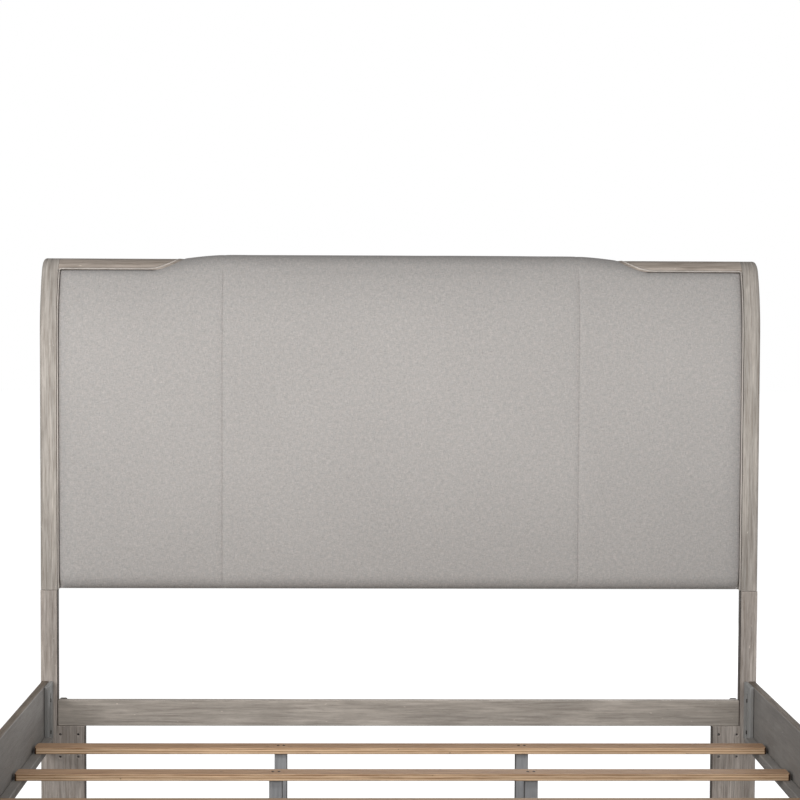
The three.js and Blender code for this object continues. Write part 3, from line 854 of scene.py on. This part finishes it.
def cover_grid(end):
    """A coarse sheet over the whole pad, as (x, s) arrays and whether each point is on it."""
    w = end.half_width
    x_tail = OGEE_END - BEAD_WIDTH - BEAD_GAP
    left = np.linspace(-w, -SEAM_X, COLUMNS_OUTSIDE_SEAM + 1)
    middle = np.linspace(-SEAM_X, SEAM_X, COLUMNS_BETWEEN_SEAMS + 1)
    right = np.linspace(SEAM_X, w, COLUMNS_OUTSIDE_SEAM + 1)
    xs = np.concatenate([left[:-1], middle, right[1:]])
    front = np.linspace(PAD_FOOT, end.s_lip, 1 + round(end.s_lip / SHEET_ROW_STEP))
    ss = np.concatenate([front, np.arange(end.s_lip + 0.02, end.s_tail, 0.02)])
    x, s = np.meshgrid(xs, ss, indexing="ij")
    return xs, ss, x, s, (np.abs(x) < x_tail + 0.012) | (s <= end.s_lip + 1e-6)


def swollen_cover(end):
    """Simulates the linen pressed out from behind, held at its hem and along both seams.

    Gives the sheet's grid lines and, at each crossing, how far it swells, from 0 to 1.
    """
    xs, ss, x, s, on_sheet = cover_grid(end)
    start = end.points(x, s, SHEET_START)
    number = np.full(x.shape, -1)
    number[on_sheet] = np.arange(on_sheet.sum())
    faces = []
    for i in range(len(xs) - 1):
        for j in range(len(ss) - 1):
            corners = [number[i, j], number[i + 1, j], number[i + 1, j + 1], number[i, j + 1]]
            if min(corners) >= 0:
                faces.append([int(c) for c in corners[::end.out]])
    mesh = bpy.data.meshes.new("cover_sheet")
    mesh.from_pydata([tuple(p) for p in start[on_sheet]], [], faces)
    sheet = placed("cover_sheet", mesh)
    hold_cover(sheet, x[on_sheet], faces)
    moved = run_cloth(sheet)
    normal = end.points(x, s, SHEET_START + 0.001) - start
    normal /= np.linalg.norm(normal, axis=-1)[..., None]
    swell = np.zeros(x.shape)
    swell[on_sheet] = ((moved - start[on_sheet]) * normal[on_sheet]).sum(-1)
    bpy.data.objects.remove(sheet)
    return xs, ss, 1 - np.exp(-np.maximum(swell, 0) / FULL_SWELL)


def hold_cover(sheet, x, faces):
    """Pins the sheet's border, and its two seams less firmly."""
    uses = {}
    for corners in faces:
        for a, b in zip(corners, corners[1:] + corners[:1]):
            uses[frozenset((a, b))] = uses.get(frozenset((a, b)), 0) + 1
    border = {v for pair, count in uses.items() if count == 1 for v in pair}
    seam = {i for i, place in enumerate(x) if abs(abs(place) - SEAM_X) < 1e-4} - border
    group = sheet.vertex_groups.new(name="held")
    group.add(sorted(border), 1.0, "REPLACE")
    group.add(sorted(seam), 0.9, "REPLACE")


def run_cloth(sheet):
    """Where the sheet's vertices are after a few frames of pressure and no gravity."""
    cloth = sheet.modifiers.new("cloth", "CLOTH")
    settings = cloth.settings
    settings.quality = 6
    settings.mass = 0.3
    settings.tension_stiffness = 15
    settings.compression_stiffness = 15
    settings.shear_stiffness = 5
    settings.bending_stiffness = 0.5
    settings.vertex_group_mass = "held"
    settings.use_pressure = True
    settings.uniform_pressure_force = 4
    settings.effector_weights.gravity = 0
    cloth.point_cache.frame_start = 1
    cloth.point_cache.frame_end = CLOTH_FRAMES
    for frame_number in range(1, CLOTH_FRAMES + 1):
        SCENE.frame_set(frame_number)
    evaluated = sheet.evaluated_get(bpy.context.evaluated_depsgraph_get())
    places = np.empty(len(sheet.data.vertices) * 3)
    evaluated.data.vertices.foreach_get("co", places)
    SCENE.frame_set(1)
    return places.reshape(-1, 3)


def sampled(grid, x, s):
    """The cover's swell at points between its grid lines."""
    xs, ss, values = grid
    i = np.clip(np.searchsorted(xs, x) - 1, 0, len(xs) - 2)
    j = np.clip(np.searchsorted(ss, s) - 1, 0, len(ss) - 2)
    u = np.clip((x - xs[i]) / (xs[i + 1] - xs[i]), 0, 1)
    v = np.clip((s - ss[j]) / (ss[j + 1] - ss[j]), 0, 1)
    low = values[i, j] * (1 - u) + values[i + 1, j] * u
    high = values[i, j + 1] * (1 - u) + values[i + 1, j + 1] * u
    return low * (1 - v) + high * v


def pad_grids(end, outline):
    """The pad as three grids of (x, s): its front, the climb over the lip, and the tail behind."""
    half = pad_columns(end)
    columns = np.array([-x for x in half[:0:-1]] + half)
    x_ogee, x_tail = ogee_ends(end)
    s_low, s_lip, s_end = outline[0][1], outline[2][1], outline[-1][1]
    front_rows = np.array(near_edge(s_low, s_lip) + [s_lip])
    front = np.meshgrid(columns, front_rows, indexing="ij")

    # over the roll the columns beside the ogee stop short of the top
    inner = columns[np.abs(columns) <= x_ogee + 1e-6]
    ogee = np.array(outline[3:-2])
    order = np.argsort(ogee[:, 0])
    at_ogee = np.interp(np.abs(inner), ogee[order, 0], ogee[order, 1])
    stop = np.where(np.abs(inner) > x_tail, at_ogee, end.s_top)
    share = np.linspace(0, 1, 16)
    climb = s_lip + share[None, :] * (np.maximum(stop, s_lip + 1e-5) - s_lip)[:, None]
    over = (np.repeat(inner[:, None], len(share), 1), climb)

    tail_columns = columns[np.abs(columns) <= x_tail + 1e-6]
    tail_rows = spaced(end.s_top, s_end - HEM_ZONE, TAIL_STEP)
    tail_rows += spaced(s_end - HEM_ZONE, s_end, HEM_STEP) + [s_end]
    tail = np.meshgrid(tail_columns, np.array(tail_rows), indexing="ij")
    return front, over, tail


def add_grid(bm, uv, end, x, s, d):
    """Faces through a grid of points, with x and s as their UV, in metres."""
    verts = [[bm.verts.new(p) for p in line] for line in end.points(x, s, d)]
    for i in range(len(verts) - 1):
        for j in range(len(verts[0]) - 1):
            corners = ((i, j), (i + 1, j), (i + 1, j + 1), (i, j + 1))
            face = bm.faces.new([verts[a][b] for a, b in corners])
            for loop, corner in zip(face.loops, corners):
                loop[uv].uv = (x[corner], s[corner])


def build_pad(end):
    name = f"{end.name}_pad"
    outline = pad_outline(end)
    cover = swollen_cover(end)
    bm = bmesh.new()
    uv = bm.loops.layers.uv.new("metres")
    for x, s in pad_grids(end, outline):
        swell = np.ones(x.shape) if cover is None else sampled(cover, x, s)
        add_grid(bm, uv, end, x, s, pad_height(end, outline, x, s, swell))
    bmesh.ops.remove_doubles(bm, verts=bm.verts, dist=2e-5)
    bmesh.ops.dissolve_degenerate(bm, dist=1e-6, edges=bm.edges)
    hem = [e for e in bm.edges if e.is_boundary]
    grown = bmesh.ops.extrude_edge_only(bm, edges=hem)
    tuck_in(end, new_verts(grown), HEM_DEPTH)
    mesh = mesh_from_bmesh(name + "_cover", bm)
    piece = finish_piece(name + "_cover", mesh, LINEN, name, 80)
    solid = piece.modifiers.new("thickness", "SOLIDIFY")
    solid.thickness = LINEN_THICKNESS
    solid.offset = -1


def tuck_in(end, verts, depth):
    """Moves points straight back into the wood, away from the surface."""
    for v in verts:
        y = (v.co.y - end.face_y) * end.out
        z = v.co.z
        if z < end.straight_top:
            back = Vector((0, 1))
        elif y < end.profile(np.array([end.lean_end]), 0)[0][0] and z < end.roll_z + 0.03:
            back = Vector((end.lean_radius - y, end.straight_top - z)).normalized()
        else:
            back = Vector((end.roll_y - y, end.roll_z - z)).normalized()
        v.co.y += end.out * back[0] * depth
        v.co.z += back[1] * depth


def rolled_edge(gap, width):
    """0 at an edge, 1 once gap reaches width, as a quarter circle."""
    t = np.clip(gap / width, 0, 1)
    return np.sqrt(1 - (1 - t) ** 2)


def pad_height(end, outline, x, s, swell):
    """How far the linen stands in front of the wood.

    It is crowned, rolls down at its edges, and is drawn in along the seams.
    """
    across = np.abs(x)
    over = np.clip((s - end.s_lip + LIP_BLEND) / (2 * LIP_BLEND), 0, 1)
    over = over * over * (3 - 2 * over)
    gap = line_distance(outline[2:-1], across, s)
    under_lip = rolled_edge(gap, LIP_ROLL)
    climb = np.sin(np.clip(gap / OGEE_ROLL, 0, 1) * math.pi / 2)
    on_roll = rolled_edge(gap, ROLL_RIM) * (ROLL_LEAST + (1 - ROLL_LEAST) * climb)
    full = rolled_edge(outline[1][0] - across, SIDE_ROLL)
    full = full * rolled_edge(outline[-1][1] - s, TAIL_ROLL)
    full = full * (under_lip * (1 - over) + on_roll * over)
    crown = PAD_CROWN + (ROLL_CROWN - PAD_CROWN) * over
    d = -PAD_SUNK + (crown + PAD_SUNK - PAD_SWELL * (1 - swell)) * full
    seam = np.abs(across - SEAM_X)
    pulled = full * (1 - SEAM_FADE * over)
    for depth, spread in SEAM_PULLS:
        d = d - depth * np.exp(-((seam / spread) ** 2)) * pulled
    d = d + RIPPLE * ripple(x, s) * full
    below = 1 - rolled_edge(s - outline[0][1], BOTTOM_ROLL)
    return np.maximum(d - (PAD_CROWN + BOTTOM_TUCK) * below, -BOTTOM_TUCK)


def ripple(x, s):
    """Slow unevenness of stretched cloth over foam, about -1 to 1."""
    uneven = np.zeros_like(x)
    for index in np.ndindex(x.shape):
        uneven[index] = noise.noise(Vector((x[index] * 3.1, s[index] * 2.3, 5.0)))
        uneven[index] += 0.5 * noise.noise(Vector((x[index] * 9.0, s[index] * 6.0, 1.0)))
    return uneven


# ---------- Hardware ----------


def bolt_head(name, place, axis, radius, height, body):
    """A hex head on a washer, standing out from place along axis."""
    bm = bmesh.new()
    for sides, lower, upper, bottom, top in BOLT_PARTS:
        radii = {"radius1": radius * lower, "radius2": radius * upper}
        depth = height * (top - bottom)
        part = bmesh.ops.create_cone(bm, cap_ends=True, segments=sides, depth=depth, **radii)
        bmesh.ops.translate(bm, verts=part["verts"], vec=(0, 0, height * (bottom + top) / 2))
    fit(name, bm, place, axis, body)


def countersunk_screw(name, place, axis, radius, body):
    """A screw head almost level with the wood, with a cross recess."""
    bm = bmesh.new()
    rings = []
    for reach, rise in SCREW_RINGS:
        ring = []
        for i in range(SCREW_SIDES):
            angle = 2 * math.pi * i / SCREW_SIDES
            # four notches in the innermost ring make the cross
            notch = SCREW_NOTCH if reach < 0.5 and i % (SCREW_SIDES // 4) == 0 else 1.0
            across = (radius * reach * notch * math.cos(angle), radius * reach * notch * math.sin(angle))
            ring.append(bm.verts.new((*across, rise)))
        rings.append(ring)
    bridge(bm, rings)
    well = bm.verts.new((0, 0, SCREW_WELL))
    for i in range(SCREW_SIDES):
        bm.faces.new((rings[-1][i], rings[-1][(i + 1) % SCREW_SIDES], well))
    bm.faces.new(rings[0][::-1])
    fit(name, bm, place, axis, body)


def fit(name, bm, place, axis, body):
    """Turns a small steel piece from Z to axis. It rides a body and stands for no CAD node."""
    turn = Vector((0, 0, 1)).rotation_difference(Vector(axis)).to_matrix().to_4x4()
    bmesh.ops.transform(bm, matrix=Matrix.Translation(Vector(place)) @ turn, verts=bm.verts)
    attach(shaded(name, mesh_from_bmesh(name, bm), STEEL, 30), body)


def build_block(end_word, side_word, side_sign):
    """A rail's end block, with an upright groove that its bolts sit in."""
    name = f"{end_word}_block_{side_word}"
    low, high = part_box(name)
    middle = (low[1] + high[1]) / 2
    corner = (middle - GROOVE_WIDTH / 2, low[2] + GROOVE_BELOW)
    opposite = (middle + GROOVE_WIDTH / 2, high[2] - GROOVE_ABOVE)
    eased(name, OAK_BLOCK, 0.001, 2, (-side_sign, corner, opposite, GROOVE_DEPTH))


def bolt_the_block(end_word, side_word, side_sign):
    """Bolts through a rail's end block, one above the other in its groove."""
    low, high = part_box(f"{end_word}_block_{side_word}")
    x = (high[0] if side_sign < 0 else low[0]) + side_sign * GROOVE_DEPTH
    for number, z in enumerate(BOLT_LEVELS, 1):
        name = f"{end_word}_bolt_{side_word}_{number}"
        place = (x, (low[1] + high[1]) / 2, z)
        bolt_head(name, place, (-side_sign, 0, 0), BOLT_RADIUS, BOLT_THICKNESS, "frame")


def screw_the_cleat(side_word, side_sign):
    """A row of screws through a cleat into its rail."""
    low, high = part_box(f"cleat_{side_word}")
    x = high[0] if side_sign < 0 else low[0]
    z = (low[2] + high[2]) / 2
    for number in range(1, CLEAT_SCREWS + 1):
        y = low[1] + (high[1] - low[1]) * (number - 0.5) / CLEAT_SCREWS
        name = f"cleat_screw_{side_word}_{number}"
        countersunk_screw(name, (x, y, z), (-side_sign, 0, 0), CLEAT_SCREW_RADIUS, "frame")


def screw_the_slat(slat_name, leg_name, label):
    """Two screws down through a slat into a leg."""
    _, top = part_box(slat_name)
    low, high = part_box(leg_name)
    x, y = (low[0] + high[0]) / 2, (low[1] + high[1]) / 2
    for number, shift in enumerate((-SLAT_SCREW_SHIFT, SLAT_SCREW_SHIFT), 1):
        place = (x + shift, y, top[2])
        name = f"{label}_screw_{number}"
        countersunk_screw(name, place, (0, 0, 1), SLAT_SCREW_RADIUS, BODY_OF[slat_name])


def build_slat(name):
    """A plywood slat with its four upright corners well rounded."""
    low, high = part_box(name)
    left, right = low[0] + SLAT_CORNER, high[0] - SLAT_CORNER
    near, far = low[1] + SLAT_CORNER, high[1] - SLAT_CORNER
    bm = bmesh.new()
    ring = []
    for x, y, start in ((right, far, 0), (left, far, 90), (left, near, 180), (right, near, 270)):
        for i in range(7):
            angle = math.radians(start + 15 * i)
            place = (x + SLAT_CORNER * math.cos(angle), y + SLAT_CORNER * math.sin(angle), low[2])
            ring.append(bm.verts.new(place))
    grown = bmesh.ops.extrude_face_region(bm, geom=[bm.faces.new(ring)])
    bmesh.ops.translate(bm, verts=new_verts(grown), vec=(0, 0, high[2] - low[2]))
    rims = [e for e in bm.edges if abs(e.verts[0].co.z - e.verts[1].co.z) < 1e-6]
    round_edges(bm, rims, SLAT_ROUNDING, 3)
    piece = finish_piece(name + "_board", mesh_from_bmesh(name, bm), PLYWOOD, name)
    # the ends and their rounded corners get the dark end grain with painted shade
    for _, side_sign in SIDES:
        paint_side(piece, (side_sign, 0, 0), SLAT_END_AND_SHADE, 0.35)
    even_shading(piece)


# ---------- Building the bed ----------

for bed_end in (HEAD, FOOT):
    for side_word, side_sign in SIDES:
        build_post(bed_end, side_word, side_sign)
        build_bead(bed_end, side_word, side_sign)
        leg = eased(f"{bed_end.name}_leg_{side_word}", OAK_LEG)
        # the leg's inner side, facing the middle, gets painted shade
        paint_side(leg, (-side_sign, 0, 0), OAK_PAINTED_SHADE)
    build_crest(bed_end)
    build_pad(bed_end)
    eased(f"{bed_end.name}_back_panel", LINEN, 0.003, 3)
    for inner_part in ("bottom_rail", "core_board"):
        eased(f"{bed_end.name}_{inner_part}", OAK_INNER, 0.0008)

eased("headboard_stretcher", OAK_STRETCHER, 0.0016)
for side_word, _ in SIDES:
    # the corner blocks are painted shade, in the dark oak
    eased(f"headboard_corner_block_{side_word}", OAK_PAINTED_SHADE, 0.002)
    eased(f"cleat_{side_word}", OAK_RAIL, 0.001)

for side_word, side_sign in SIDES:
    side_rail = eased(f"rail_{side_word}", OAK_RAIL, 0.0016)
    paint_side(side_rail, (side_sign, 0, 0), OAK_RAIL_OUT)
    paint_side(side_rail, (0, 0, 1), OAK_RAIL_TOP)
    for end_word in ("head", "foot"):
        build_block(end_word, side_word, side_sign)
    for end_word in ("head", "foot"):
        bolt_the_block(end_word, side_word, side_sign)
    screw_the_cleat(side_word, side_sign)

for slat_number in range(1, 7):
    slat_node = f"slat_{slat_number}"
    build_slat(slat_node)
    for side_word, side_sign in SIDES:
        leg_node = f"{slat_node}_leg_{side_word}"
        slat_leg = eased(leg_node, GREY_PAINT, 0.001)
        # the slat leg's inner side, facing the middle, gets painted shade
        paint_side(slat_leg, (-side_sign, 0, 0), GREY_PAINTED_SHADE)
        screw_the_slat(slat_node, leg_node, leg_node)


# ---------- Stage ----------

# a camera fitted to the photo; the angles are in radians and the lens in millimetres
CAMERA_PLACE = (-0.1043, -4.5268, 1.4791)
CAMERA_PITCH_DOWN = 0.04657
CAMERA_TURN = -0.01833
CAMERA_ROLL = 0.00436
CAMERA_LENS = 86.77
AMBIENT = 0.34
FLOOR_GLOW = 0.86
FLOOR_GREY = (0.42, 0.42, 0.42, 1)
FLOOR_REACH = 30


def add_camera():
    """The photo's view: a little above the pads, a little left of the middle, almost level."""
    data = bpy.data.cameras.new("camera")
    data.lens = CAMERA_LENS
    data.sensor_width = 36
    data.clip_end = 60
    camera = placed("camera", data)
    level = Matrix.Rotation(math.pi / 2 - CAMERA_PITCH_DOWN, 4, "X")
    turn = Matrix.Rotation(CAMERA_TURN, 4, "Z")
    roll = Matrix.Rotation(CAMERA_ROLL, 4, "Z")
    camera.matrix_world = Matrix.Translation(CAMERA_PLACE) @ turn @ level @ roll
    SCENE.camera = camera


def add_area(name, place, target, size, power):
    data = bpy.data.lights.new(name, "AREA")
    data.shape = "RECTANGLE"
    data.size, data.size_y = size
    data.energy = power
    lamp = placed(name, data)
    lamp.location = place
    lamp.rotation_euler = (Vector(target) - Vector(place)).to_track_quat("-Z", "Y").to_euler()


def camera_strength(tree, seen, unseen):
    """A strength that is `seen` for what the camera sees directly and `unseen` for its light."""
    direct = node(tree, "LightPath").outputs["Is Camera Ray"]
    made = node(tree, "Math", {0: direct, 1: seen - unseen, 2: unseen}, operation="MULTIPLY_ADD")
    return made.outputs[0]


def add_floor():
    """A floor under the legs that looks white to the camera but bounces light as grey."""
    material, tree, shader = new_material("studio_floor")
    glow = camera_strength(tree, FLOOR_GLOW, 0.0)
    put_all(tree, shader, {"Base Color": FLOOR_GREY, "Roughness": 0.9})
    put_all(tree, shader, {"Emission Color": (1, 1, 1, 1), "Emission Strength": glow})
    bm = bmesh.new()
    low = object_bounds()[0][2]
    for x, y in ((-1, -1), (1, -1), (1, 1), (-1, 1)):
        bm.verts.new((x * FLOOR_REACH, y * FLOOR_REACH, low))
    bm.faces.new(bm.verts[:])
    mesh = mesh_from_bmesh("floor", bm)
    mesh.materials.append(material)
    placed("floor", mesh)


def add_world():
    """A white backdrop that lights the bed only softly."""
    world = bpy.data.worlds.new("studio")
    world.use_nodes = True
    background = world.node_tree.nodes["Background"]
    strength = camera_strength(world.node_tree, 1.0, AMBIENT)
    put_all(world.node_tree, background, {"Color": (1, 1, 1, 1), "Strength": strength})
    SCENE.world = world


add_camera()
add_world()
add_floor()
add_area("front_strip", (-0.25, -0.05, 1.30), (-0.25, 1.0, 1.30), (3.6, 0.25), 15)
add_area("left_key", (-3.1, -2.8, 1.9), (0.2, 1.0, 1.0), (1.6, 1.6), 59)
add_area("right_fill", (3.0, -2.6, 1.9), (0.0, 1.0, 1.0), (1.6, 1.6), 23)
add_area("back_fill", (0.8, 4.8, 0.9), (0.0, 1.0, 0.9), (2.6, 1.2), 46)
SCENE.view_settings.view_transform = "Standard"
